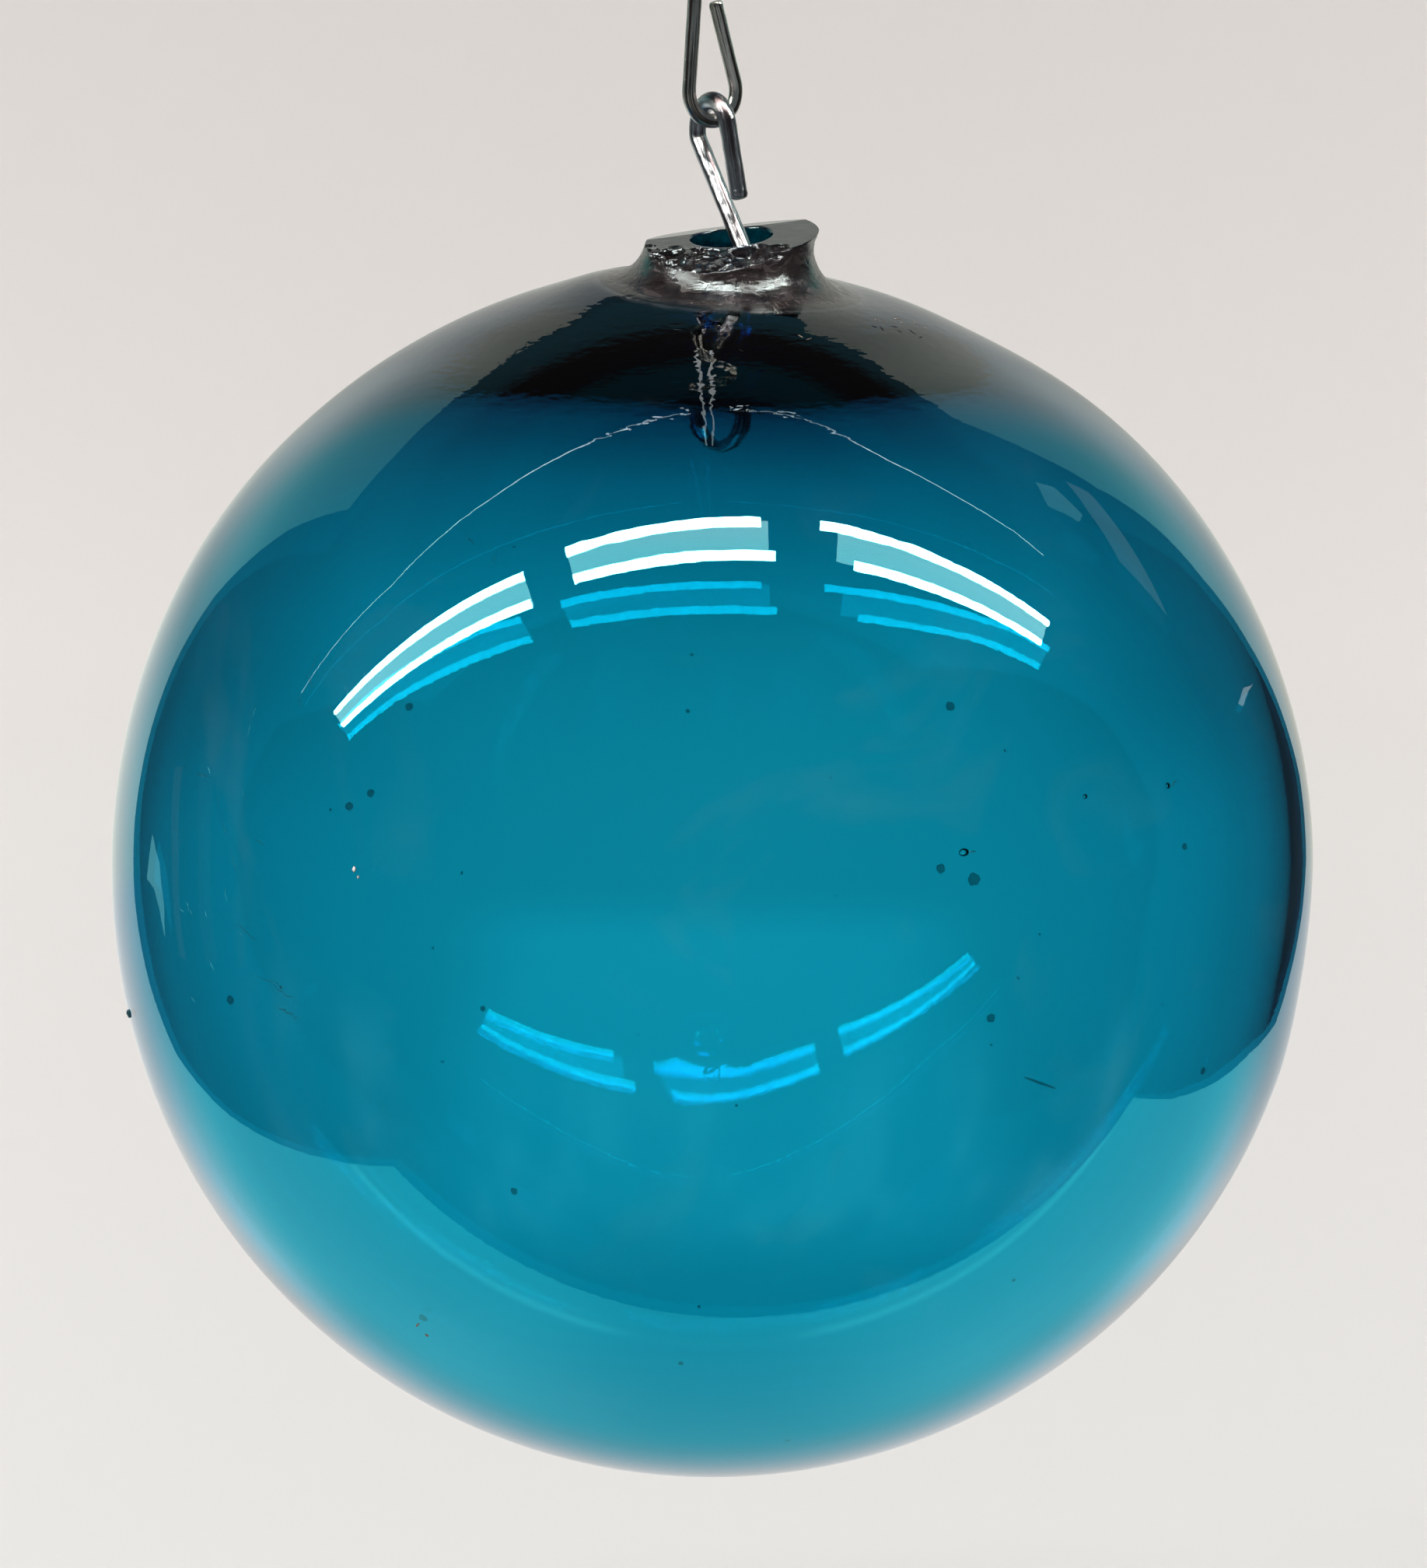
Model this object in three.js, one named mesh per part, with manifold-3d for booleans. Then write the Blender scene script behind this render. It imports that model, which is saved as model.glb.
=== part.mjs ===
// A witch ball: a hollow ball of hand-blown teal glass, with the cracked-off stub of the neck
// that it was blown through. It hangs on two S-hooks of bent wire.
// Millimetres, +Z up. The origin is the hanging point, inside the top of the upper hook.
// The lower hook is bent in the XZ plane and the upper hook in the YZ plane.
import * as THREE from "three";
import { mergeVertices } from "three/addons/utils/BufferGeometryUtils.js";
import Module from "manifold-3d";

const wasm = await Module();
wasm.setup();

// Glass ball and its neck
const ballWidth = 149; // across the equator
const ballHeight = 150.6; // from pole to pole, without the neck
const glassWall = 2.5;
const neckWall = 7; // the wall thickens to this under the neck
const thickWidth = 78; // across the part that is thicker
const boreDiameter = 9.2; // the hole through the neck
const boreEdgeRadius = 0.6; // rounding where the bore opens into the ball
const waistDiameter = 18.4; // the collar at its narrowest
const neckFilletRadius = 4.8; // the hollow curve from the shoulder up to the waist
const lipFlare = 0.35; // the lip stands this far out past the waist
const lipRise = 1.1; // and grows to that over this height
const neckRise = 3.75; // the broken face above the crown of the ball, on the neck's axis
const neckLean = 2.8; // degrees from plumb, towards +X
const faceTilt = 8; // degrees that the broken face is off square to the neck
const faceUphill = 104; // the bearing that it rises towards, in degrees from +X to +Y

// The two breaks that run down from the face. A bearing is in degrees from +X to +Y, a drop is
// in degrees below square to the neck, and a start is where the break leaves the face on that
// bearing, as a share of the bore's radius.
const breaks = [
  { bearing: -57, drop: 20.3, startShare: 1.07 },
  { bearing: 207, drop: 9, startShare: 0.95 },
];

// The shell-shaped chips in the first break: how far each lies across it and out from the
// neck's axis, its radius and its bite, all as shares of the waist's radius.
const chipShares = [
  { across: 0.42, out: 0.55, radius: 0.37, bite: 0.11 },
  { across: 0, out: 0.75, radius: 0.33, bite: 0.04 },
  { across: 0.75, out: 0.38, radius: 0.2, bite: 0.055 },
  { across: -0.47, out: 0.8, radius: 0.185, bite: 0.055 },
];

// Lower hook
const lowerWire = 1.9; // wire diameter
const eyeInside = 2.2; // inside radius of its eye
const shankBend = 1.6; // radius of the bend below the eye
const freeLeg = 7.8; // the straight leg that ends beside the shank
const freeLegSplay = 18.6; // degrees that the leg stands out from plumb
const rimDrop = 11.46; // from the link down to the broken face
const entryDepth = 1.9; // the shank turns down the bore this far below the face
const entryBend = 3; // radius of that bend
const tipRise = 2.6; // the straight tip under the ball's ceiling

// Upper hook
const upperWire = 1.5; // wire diameter
const linkInside = 2.2; // inside radius of the bottom loop
const hangInside = 5; // inside radius of the top loop
const hookReach = 35; // from the link up to the hanging point
const shankLean = 5; // degrees, the lower part of the shank
const mouthHeight = 11.6; // the free end of the bottom loop above the link
const mouthGap = 1; // between that end and the shank
const kneeHeight = 13.6; // where the shank bends across
const kneeBend = 8; // radius of that bend
const topLoopEnd = 200; // degrees round the top loop from +Y where its free end is

// Fits and facets
const seatGap = 0.3; // between a wire and what it bears on
const overrun = 1; // how far a cutter goes past what it cuts
const ballSides = 60;
const outsideRings = 28;
const thickRings = 7;
const insideRings = 19;
const filletRings = 6;
const edgeRings = 3;
const chipSides = 12;
const wireSides = 12;
const wireStep = 1; // length of a facet along a wire

const ballRadius = ballWidth / 2;
const boreRadius = boreDiameter / 2;
const waistRadius = waistDiameter / 2;
const lowerRadius = lowerWire / 2;
const upperRadius = upperWire / 2;
const faceHeight = ballHeight / 2 + neckRise; // above the centre of the ball
const radians = THREE.MathUtils.degToRad;

function point(x, y) {
  return new THREE.Vector2(x, y);
}

// The unit vector at an angle in radians.
function along(angle) {
  return point(Math.cos(angle), Math.sin(angle));
}

function toSolid(geometry) {
  const bare = geometry.index ? geometry.toNonIndexed() : geometry.clone();
  bare.deleteAttribute("normal");
  bare.deleteAttribute("uv");
  const merged = mergeVertices(bare);
  const corners = [];
  for (let i = 0; i < merged.index.count; i += 3) {
    const face = [0, 1, 2].map((k) => merged.index.getX(i + k));
    if (new Set(face).size === 3) corners.push(...face);
  }
  return new wasm.Manifold(
    new wasm.Mesh({
      numProp: 3,
      vertProperties: merged.attributes.position.array,
      triVerts: new Uint32Array(corners),
    }),
  );
}

function toGeometry(solid) {
  const mesh = solid.getMesh();
  const geometry = new THREE.BufferGeometry();
  geometry.setAttribute("position", new THREE.BufferAttribute(mesh.vertProperties, 3));
  geometry.setIndex(new THREE.BufferAttribute(mesh.triVerts, 1));
  geometry.computeVertexNormals();
  return geometry;
}

// Glass

// The points of a round arc, with its height stretched about the centre of the ball.
function arcPoints(centre, radius, from, to, steps, stretch) {
  return Array.from({ length: steps + 1 }, (_, i) => {
    const spot = along(from + ((to - from) * i) / steps).multiplyScalar(radius).add(centre);
    return point(spot.x, spot.y * stretch);
  });
}

// A small circle that rests on a sphere and against a stem that stands on the sphere's axis.
function cornerCircle(sphereRadius, stemRadius, cornerRadius) {
  const out = stemRadius + cornerRadius;
  const reach = sphereRadius + cornerRadius;
  return { centre: point(out, Math.sqrt(reach ** 2 - out ** 2)), polar: Math.asin(out / reach) };
}

// How much thicker than the rest the wall is at a distance from the neck's axis.
function thickeningAt(distance) {
  return (neckWall - glassWall) * (1 - THREE.MathUtils.smoothstep(distance, waistRadius, thickWidth / 2));
}

function thicken(spot) {
  return point(spot.x, spot.y - thickeningAt(spot.x));
}

// Half the section of the ball and its neck: up the outside, down the bore, round the inside.
function ballProfile(stubTop) {
  const outerStretch = ballHeight / ballWidth;
  const innerRadius = ballRadius - glassWall;
  const innerStretch = (ballHeight / 2 - glassWall) / innerRadius;
  const origin = point(0, 0);
  const quarter = Math.PI / 2;
  const foot = cornerCircle(ballRadius, waistRadius, neckFilletRadius);
  const mouth = cornerCircle(innerRadius, boreRadius, boreEdgeRadius);
  const down = 3 * quarter;
  const outside = arcPoints(origin, ballRadius, -quarter, quarter - foot.polar, outsideRings, outerStretch);
  const footAngle = down - foot.polar;
  const fillet = arcPoints(foot.centre, neckFilletRadius, footAngle, 2 * quarter, filletRings, outerStretch);
  const waist = fillet[fillet.length - 1];
  const lip = [point(waistRadius + lipFlare, waist.y + lipRise), point(waistRadius + lipFlare, stubTop)];
  const edgeAngle = down - mouth.polar;
  const edge = arcPoints(mouth.centre, boreEdgeRadius, 2 * quarter, edgeAngle, edgeRings, innerStretch);
  const thickStart = quarter - mouth.polar;
  const thickEnd = quarter - Math.asin(thickWidth / 2 / innerRadius);
  const thick = arcPoints(origin, innerRadius, thickStart, thickEnd, thickRings, innerStretch);
  const inside = arcPoints(origin, innerRadius, thickEnd, -quarter, insideRings, innerStretch);
  outside[0].x = 0;
  inside[inside.length - 1].x = 0;
  const ceiling = [...edge, ...thick.slice(1)].map(thicken);
  return [...outside, ...fillet.slice(1), ...lip, point(boreRadius, stubTop), ...ceiling, ...inside.slice(1)];
}

// The ceiling of the ball at a distance from the neck's axis, above the centre of the ball.
function ceilingAt(distance) {
  const level = (ballHeight / 2 - glassWall) * Math.sqrt(1 - (distance / (ballRadius - glassWall)) ** 2);
  return level - thickeningAt(distance);
}

// How high the broken face is at a distance from the axis along a bearing.
function faceLevel(distance, bearing) {
  const rise = Math.tan(radians(faceTilt)) * Math.cos(radians(bearing - faceUphill));
  return faceHeight + distance * rise;
}

// A block over a plane that is at a level at a distance along a bearing, and drops outwards.
function breakBlock(start, bearing, drop, level, size) {
  const block = new THREE.BoxGeometry(2 * size, 2 * size, size);
  block.translate(0, 0, size / 2);
  block.rotateY(radians(drop));
  block.translate(start, 0, 0);
  block.rotateZ(radians(bearing));
  block.translate(0, 0, level);
  return toSolid(block);
}

function buildBall() {
  const lipRadius = waistRadius + lipFlare;
  const stubTop = faceHeight + lipRadius * Math.tan(radians(faceTilt)) + overrun;
  const blown = new THREE.LatheGeometry(ballProfile(stubTop), ballSides);
  blown.rotateX(Math.PI / 2);
  const size = lipRadius + overrun;
  let glass = toSolid(blown);
  glass = glass.subtract(breakBlock(0, faceUphill, -faceTilt, faceHeight, size));
  for (const { bearing, drop, startShare } of breaks) {
    const start = boreRadius * startShare;
    glass = glass.subtract(breakBlock(start, bearing, drop, faceLevel(start, bearing), size));
  }
  const { bearing, drop, startShare } = breaks[0];
  const start = boreRadius * startShare;
  for (const share of chipShares) {
    const out = share.out * waistRadius;
    const radius = share.radius * waistRadius;
    const level = faceLevel(start, bearing) - (out - start) * Math.tan(radians(drop));
    const chip = new THREE.SphereGeometry(radius, chipSides, chipSides / 2);
    chip.translate(out, share.across * waistRadius, level + radius - share.bite * waistRadius);
    chip.rotateZ(radians(bearing));
    glass = glass.subtract(toSolid(chip));
  }
  return toGeometry(glass);
}

// Wire

// A wire's centreline, drawn flat and stood up in the XZ or the YZ plane.
class WireCurve extends THREE.Curve {
  constructor(path, side) {
    super();
    this.path = path;
    this.side = side;
  }
  getPoint(t, target = new THREE.Vector3()) {
    const flat = this.path.getPoint(t);
    return target.copy(this.side).multiplyScalar(flat.x).setZ(flat.y);
  }
}

function buildWire(path, side, radius) {
  const section = new THREE.Shape().absarc(0, 0, radius, 0, 2 * Math.PI);
  return new THREE.ExtrudeGeometry(section, {
    curveSegments: wireSides / 2,
    steps: Math.round(path.getLength() / wireStep),
    extrudePath: new WireCurve(path, side),
  });
}

// Where a straight wire to an outer point touches a circle, as an angle round the circle. The
// side is 1 where that lies clockwise of the outer point, and -1 where it lies anticlockwise.
function tangentAngle(centre, radius, outer, side) {
  const arm = outer.clone().sub(centre);
  return arm.angle() - side * Math.acos(radius / arm.length());
}

function arcTo(path, centre, radius, from, to) {
  path.absarc(centre.x, centre.y, radius, from, to, to < from);
}

// Rounds a corner that turns between two headings. The path runs straight up to the bend.
function bendAt(path, corner, radius, headingIn, headingOut) {
  const turn = headingOut - headingIn;
  const left = Math.sign(turn);
  const start = corner.clone().addScaledVector(along(headingIn), -radius * Math.tan(Math.abs(turn) / 2));
  const square = left * (Math.PI / 2);
  const centre = start.clone().addScaledVector(along(headingIn + square), radius);
  path.lineTo(start.x, start.y);
  arcTo(path, centre, radius, headingIn - square, headingOut - square);
}

// The link, where the lower hook's eye rides on the upper hook's bottom loop, is at (0, 0).
const ballCentre = point(0, -rimDrop - faceHeight * Math.cos(radians(neckLean)));
const neckUp = along(Math.PI / 2 - radians(neckLean));
const neckSide = along(-radians(neckLean));

// A point in the lower hook's plane, by its distance beside and above the ball's centre.
function inBall(beside, above) {
  return ballCentre.clone().addScaledVector(neckSide, beside).addScaledVector(neckUp, above);
}

function lowerHookPath() {
  const path = new THREE.Path();
  const eyeRadius = eyeInside + lowerRadius;
  const eye = point(0, upperRadius + seatGap + lowerRadius - eyeRadius);
  const splay = radians(freeLegSplay);
  const legTop = along(splay).multiplyScalar(eyeRadius).add(eye);
  const legEnd = legTop.clone().addScaledVector(along(splay - Math.PI / 2), freeLeg);
  path.moveTo(legEnd.x, legEnd.y);
  path.lineTo(legTop.x, legTop.y);
  arcTo(path, eye, eyeRadius, splay, Math.PI);

  const boreSide = boreRadius - seatGap - lowerRadius;
  const corner = inBall(boreSide, faceHeight - entryDepth);
  const bend = point(shankBend - eyeRadius, eye.y);
  const leave = tangentAngle(bend, shankBend, corner, 1);
  arcTo(path, bend, shankBend, Math.PI, leave);
  const down = neckUp.angle() + Math.PI;
  bendAt(path, corner, entryBend, leave + Math.PI / 2, down);

  const tipSide = boreRadius + boreEdgeRadius + lowerRadius;
  const tipTop = ceilingAt(tipSide + lowerRadius) - seatGap;
  const loopRadius = (boreSide + tipSide) / 2;
  const loop = inBall(boreSide - loopRadius, tipTop - tipRise);
  const loopStart = neckSide.angle() - 2 * Math.PI;
  const legFoot = inBall(boreSide, tipTop - tipRise);
  path.lineTo(legFoot.x, legFoot.y);
  arcTo(path, loop, loopRadius, loopStart, loopStart - Math.PI);
  const tip = inBall(-tipSide, tipTop);
  path.lineTo(tip.x, tip.y);
  return path;
}

function upperHookPath() {
  const path = new THREE.Path();
  const loopRadius = linkInside + upperRadius;
  const loop = point(0, loopRadius);
  const lean = radians(shankLean);
  const shankFoot = along(Math.PI - lean).multiplyScalar(loopRadius).add(loop);
  const shankAt = (height) => shankFoot.x + (height - shankFoot.y) * Math.tan(lean);
  const mouth = point(shankAt(mouthHeight) + upperWire + mouthGap, mouthHeight);
  const legAngle = tangentAngle(loop, loopRadius, mouth, 1);
  const legFoot = along(legAngle).multiplyScalar(loopRadius).add(loop);
  path.moveTo(mouth.x, mouth.y);
  path.lineTo(legFoot.x, legFoot.y);
  arcTo(path, loop, loopRadius, legAngle, -Math.PI - lean);

  const topRadius = hangInside + upperRadius;
  const top = point(0, hookReach + upperRadius - topRadius);
  const knee = point(shankAt(kneeHeight), kneeHeight);
  const arrive = tangentAngle(top, topRadius, knee, -1) - 2 * Math.PI;
  bendAt(path, knee, kneeBend, Math.PI / 2 - lean, arrive + Math.PI / 2);
  arcTo(path, top, topRadius, arrive, radians(topLoopEnd));
  return path;
}

const steel = { metalness: 1, roughness: 0.3 };
const glassBall = new THREE.Mesh(
  buildBall(),
  new THREE.MeshStandardMaterial({ color: 0x08849e, metalness: 0, roughness: 0.04 }),
);
glassBall.name = "glass_ball";
glassBall.position.set(ballCentre.x, 0, ballCentre.y);
glassBall.rotation.y = radians(neckLean);

const lowerHook = new THREE.Mesh(
  buildWire(lowerHookPath(), new THREE.Vector3(1, 0, 0), lowerRadius),
  new THREE.MeshStandardMaterial({ color: 0xb9bab8, ...steel }),
);
lowerHook.name = "lower_hook";

const upperHook = new THREE.Mesh(
  buildWire(upperHookPath(), new THREE.Vector3(0, 1, 0), upperRadius),
  new THREE.MeshStandardMaterial({ color: 0xa9a79f, ...steel }),
);
upperHook.name = "upper_hook";

const witchBall = new THREE.Group();
witchBall.position.z = -hookReach;
witchBall.add(upperHook, lowerHook, glassBall);

export default witchBall;
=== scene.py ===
import math

import bpy
import numpy as np
from mathutils import Matrix


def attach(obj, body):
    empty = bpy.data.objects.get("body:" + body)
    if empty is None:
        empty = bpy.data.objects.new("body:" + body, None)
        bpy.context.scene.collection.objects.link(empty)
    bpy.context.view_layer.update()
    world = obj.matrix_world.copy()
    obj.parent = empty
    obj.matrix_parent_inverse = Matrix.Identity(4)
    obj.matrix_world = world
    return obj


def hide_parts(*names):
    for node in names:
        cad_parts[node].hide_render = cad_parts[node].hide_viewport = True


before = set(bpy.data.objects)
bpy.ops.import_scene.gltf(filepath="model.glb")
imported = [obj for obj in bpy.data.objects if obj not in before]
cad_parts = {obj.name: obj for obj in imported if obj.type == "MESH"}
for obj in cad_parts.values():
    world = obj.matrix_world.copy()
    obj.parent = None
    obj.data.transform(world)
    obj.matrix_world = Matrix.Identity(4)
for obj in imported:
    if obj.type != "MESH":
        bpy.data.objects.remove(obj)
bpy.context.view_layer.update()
rng = np.random.default_rng(7)
MM = 0.001

# Sizes, as in the part's source

BALL_WIDTH, BALL_HEIGHT, WALL = 149.0, 150.6, 2.5
NECK_WALL = 7.0
BORE, BORE_EDGE = 9.2, 0.6
WAIST, NECK_FILLET, LIP_FLARE, LIP_RISE = 18.4, 4.8, 0.35, 1.1
NECK_RISE, NECK_LEAN = 3.75, math.radians(2.8)
FACE_TILT, FACE_UPHILL = 8.0, 104.0
# Each break: its bearing and slope in degrees, and where it starts, in bore radii
BREAKS = [(-57, 20.3, 1.07), (207, 9, 0.95)]
# Each chip: across and out from the first break's bearing, radius and depth, in waist radii
CHIPS = [(0.42, 0.55, 0.37, 0.11), (0.0, 0.75, 0.33, 0.04), (0.75, 0.38, 0.2, 0.055), (-0.47, 0.8, 0.185, 0.055)]
LOWER_WIRE, EYE_INSIDE, SHANK_BEND, FREE_LEG, FREE_SPLAY = 1.9, 2.2, 1.6, 7.8, math.radians(18.6)
RIM_DROP, ENTRY_DEPTH, ENTRY_BEND, TIP_RISE = 11.46, 1.9, 3.0, 2.6
UPPER_WIRE, LINK_INSIDE, HANG_INSIDE, HOOK_REACH = 1.5, 2.2, 5.0, 35.0
SHANK_LEAN, MOUTH_HEIGHT, MOUTH_GAP = math.radians(5), 11.6, 1.0
KNEE_HEIGHT, KNEE_BEND, TOP_END = 13.6, 8.0, math.radians(200)
GAP = 0.3

RADIUS, STRETCH = BALL_WIDTH / 2, BALL_HEIGHT / BALL_WIDTH
BORE_R, WAIST_R, LOW_R, UP_R = BORE / 2, WAIST / 2, LOWER_WIRE / 2, UPPER_WIRE / 2
FACE = BALL_HEIGHT / 2 + NECK_RISE
CENTRE_Z = -HOOK_REACH - RIM_DROP - FACE * math.cos(NECK_LEAN)

# The camera stands at this azimuth, this high above the ball's centre and this far from it
AZIMUTH, ELEVATION, DISTANCE = math.radians(58), math.radians(28), 208.5 * MM
# Focal length and middle of the full-size picture, in pixels, how far from that middle the ball's
# centre shows, in pixels too, and how far the camera tips down
FOCAL, MIDDLE_X, MIDDLE_Y = 2019, 917.5, 1008
BALL_LEFT, BALL_BELOW = 1, 98.2
PITCH = ELEVATION - math.atan(BALL_BELOW / FOCAL)
RIGHT = np.array([math.cos(AZIMUTH), math.sin(AZIMUTH), 0.0])
AWAY = np.array([-math.sin(AZIMUTH), math.cos(AZIMUTH), 0.0])
UP = np.array([0.0, 0.0, 1.0])
HEADING = np.array([RIGHT, AWAY, UP])
CENTRE = np.array([0.0, 0.0, CENTRE_Z * MM])


def placed(right, away, up):
    """A point by its distances right of, beyond and above the ball's centre, as the camera faces."""
    return CENTRE + right * RIGHT + away * AWAY + up * UP


# Helpers

def smoothstep(x, a, b):
    t = np.clip((x - a) / (b - a), 0, 1)
    return t * t * (3 - 2 * t)


def unit(vector):
    return vector / np.linalg.norm(vector)


def waves(points, count, frequency, seed):
    """Smooth noise, about -1 to 1, of an array of unit directions: a sum of plane waves."""
    r = np.random.default_rng(seed)
    total = np.zeros(points.shape[:-1])
    for _ in range(count):
        axis = r.normal(size=3)
        axis *= frequency * r.uniform(0.6, 1.4) / np.linalg.norm(axis)
        total += np.sin(points @ axis + r.uniform(0, 2 * np.pi))
    return total / math.sqrt(count)


def new_mesh(name, vertices, faces, smooth=True):
    mesh = bpy.data.meshes.new(name)
    mesh.from_pydata([tuple(v) for v in vertices], [], faces)
    mesh.validate()
    if smooth:
        mesh.polygons.foreach_set("use_smooth", [True] * len(mesh.polygons))
    mesh.update()
    obj = bpy.data.objects.new(name, mesh)
    bpy.context.scene.collection.objects.link(obj)
    return obj


def ring_faces(rings, sides, offset=0):
    """Quads between rings of points, each ring closed on itself."""
    faces = []
    for i in range(rings - 1):
        a, b = offset + i * sides, offset + (i + 1) * sides
        for j in range(sides):
            k = (j + 1) % sides
            faces.append((a + j, a + k, b + k, b + j))
    return faces


def globe(middle, half_axes, lat, lon, lumps=1.0, end_lumps=1.0):
    """Rings of points of a small lumpy ball, whose poles lie on the first of its half axes."""
    a, b = np.pi * np.arange(lat + 1)[:, None] / lat, 2 * np.pi * np.arange(lon) / lon
    shares = [np.cos(a) * end_lumps + 0 * b, np.sin(a) * np.cos(b) * lumps, np.sin(a) * np.sin(b) * lumps]
    return list(middle + (np.stack(shares, -1) @ np.array(half_axes)).reshape(-1, 3))


# Glass ball

SIDES = 480
SPHERE_STEPS, EVEN_STEPS, UPPER_RINGS, FACE_RINGS, BORE_RINGS = 300, 250, 120, 74, 26


def face_level(rho, bearing):
    return FACE + rho * math.tan(math.radians(FACE_TILT)) * np.cos(np.radians(bearing - FACE_UPHILL))


def broken_face(rho, theta):
    """The height of the broken face at a radius and bearing, and how rough the break is there."""
    x, y = rho * np.cos(theta), rho * np.sin(theta)
    up = np.radians(FACE_UPHILL)
    height = FACE + math.tan(math.radians(FACE_TILT)) * (x * np.cos(up) + y * np.sin(up))
    rough = np.zeros_like(height)
    for i, (bearing, drop, share) in enumerate(BREAKS):
        b, start = math.radians(bearing), BORE_R * share
        level = face_level(start, bearing) - (x * np.cos(b) + y * np.sin(b) - start) * math.tan(math.radians(drop))
        if i == 0:
            rough = smoothstep(height - level, -0.12, 0.12)
        height = np.minimum(height, level)
    b, start = math.radians(BREAKS[0][0]), BORE_R * BREAKS[0][2]
    flakes, r = list(CHIPS), np.random.default_rng(21)
    for _ in range(26):
        flakes.append((r.uniform(-0.85, 0.9), r.uniform(0.5, 0.98), r.uniform(0.07, 0.2), r.uniform(0.012, 0.05)))
    for flake in flakes:
        across, out, radius, bite = (v * WAIST_R for v in flake)
        level = face_level(start, BREAKS[0][0]) - (out - start) * math.tan(math.radians(BREAKS[0][1]))
        d = np.hypot(x - out * math.cos(b) + across * math.sin(b), y - out * math.sin(b) - across * math.cos(b))
        shell = level + radius - bite - np.sqrt(np.maximum(radius**2 - d**2, 0))
        # Ripples run out from where the flake was struck, and it dies out before the bore
        shell += 0.018 * np.sin(d * 2 * np.pi / 0.42) * smoothstep(d, 0.2, 0.6)
        shell += 2.0 * smoothstep(-rho, -BORE_R * 1.10, -BORE_R * 1.02)
        inside = d < radius
        height = np.where(inside, np.minimum(height, shell), height)
        rough = np.where(inside & (shell <= height + 1e-6), 1.0, rough)
    grain = np.stack([x, y, 0 * x], -1)
    height = height + rough * (0.035 * waves(grain, 14, 3.2, 31) + 0.012 * waves(grain, 14, 11.0, 32))
    return height + (1 - rough) * 0.006 * waves(grain, 8, 1.3, 33), rough


def corner_circle(sphere, stem, corner):
    out, reach = stem + corner, sphere + corner
    return (out, math.sqrt(reach**2 - out**2)), math.asin(out / reach)


def arc(centre, radius, start, end, steps, stretch):
    t = np.linspace(start, end, steps + 1)
    return np.stack([centre[0] + radius * np.cos(t), (centre[1] + radius * np.sin(t)) * stretch], -1)


# How far the blown outline stands off the true one, by the angle round it as the camera sees it
OUTLINE = [
    (0, -0.3), (10, -0.1), (50, -0.5), (65, -0.6), (90, 0.0), (120, 0.2), (130, 0.35), (140, 0.65), (150, 0.8),
    (160, 0.5), (170, 0.15), (180, -0.1), (190, -0.25), (200, -0.1), (220, 0), (240, 0), (270, 0.1), (300, 0),
    (330, 0.1), (340, 0.05), (348, -0.9), (353, -0.9), (360, -0.3),
]


def outline_bulge(direction):
    """Carries the measured unevenness of the outline over the ball, fading towards the camera."""
    view = -(math.cos(ELEVATION) * AWAY) + math.sin(ELEVATION) * UP
    top = np.cross(RIGHT, -view)
    a = np.degrees(np.arctan2(direction @ top, direction @ RIGHT)) % 360
    across = 1 - (direction @ view) ** 2
    return np.interp(a, *zip(*OUTLINE)) * across**7


def leaned(points):
    """Turns points from the neck's own frame to the part's."""
    c, s = math.cos(NECK_LEAN), math.sin(NECK_LEAN)
    x, y, z = points[..., 0], points[..., 1], points[..., 2]
    return np.stack([c * x + s * z, y, -s * x + c * z], -1)


def neck_directions(rho, h, theta):
    p = np.stack([rho * np.cos(theta), rho * np.sin(theta), h], -1)
    return leaned(p / np.maximum(np.linalg.norm(p, axis=-1, keepdims=True), 1e-9))


# How thick the glass is, by the angle from the neck's axis in degrees: even below, swelling to the neck
WALL_ANGLES = [5, 8, 11, 14, 18, 22, 26, 31, 36, 40, 43, 45, 47, 50, 55, 60, 78, 100]
WALL_MM = [7.0, 7.0, 6.86, 6.55, 5.95, 5.28, 4.66, 3.98, 3.45, 3.12, 2.93, 2.83, 2.76, 2.68, 2.6, 2.56, 2.5, 2.5]


def wall_at(angle):
    """The wall's thickness: a smooth curve through the table above."""
    x, y = np.array(WALL_ANGLES, float), np.array(WALL_MM)
    slope = np.gradient(y, x)
    angle = np.clip(angle, x[0], x[-1])
    i = int(np.clip(np.searchsorted(x, angle) - 1, 0, len(x) - 2))
    w = x[i + 1] - x[i]
    t = (angle - x[i]) / w
    a, b, c = 2 * t**3 - 3 * t**2 + 1, t**3 - 2 * t**2 + t, t**3 - t**2
    return a * y[i] + (1 - a) * y[i + 1] + w * (b * slope[i] + c * slope[i + 1])


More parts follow.
